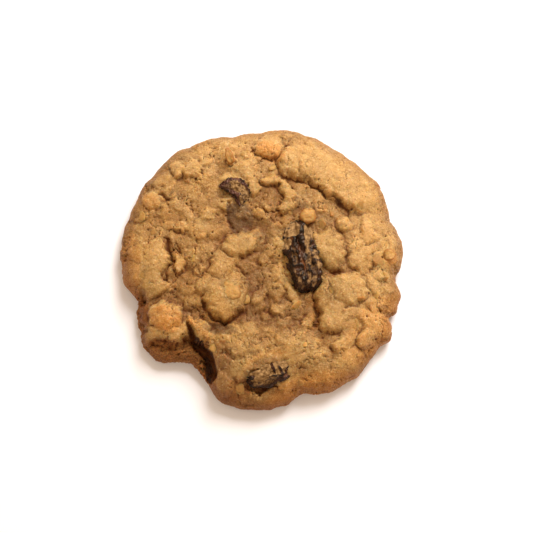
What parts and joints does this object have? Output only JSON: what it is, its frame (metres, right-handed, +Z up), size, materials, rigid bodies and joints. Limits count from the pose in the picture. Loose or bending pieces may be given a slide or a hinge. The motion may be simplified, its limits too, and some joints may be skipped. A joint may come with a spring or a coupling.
{
  "type": "oatmeal raisin cookie",
  "caption": "Round baked oatmeal raisin cookie with a lumpy flaked top, a broken edge, and dark raisins set in the dough, lying flat.",
  "frame": {"origin": "middle of the cookie's footprint, on the flat baked underside it lies on", "axes": "+Z up out of the lumpy top, +Y to the back of the cookie as the picture shows it, +X to its right"},
  "size_m": [0.0756, 0.0764, 0.013],
  "materials": {
    "crust": "dry, crumbly golden-brown baked oat dough",
    "raisin_skin": "dark, wrinkled, half-glossy dried fruit skin"
  },
  "bodies": {
    "root": {"cookie_dough": "crust", "raisin_middle": "raisin_skin", "raisin_back": "raisin_skin", "raisin_front": "raisin_skin"}
  },
  "joints": []
}
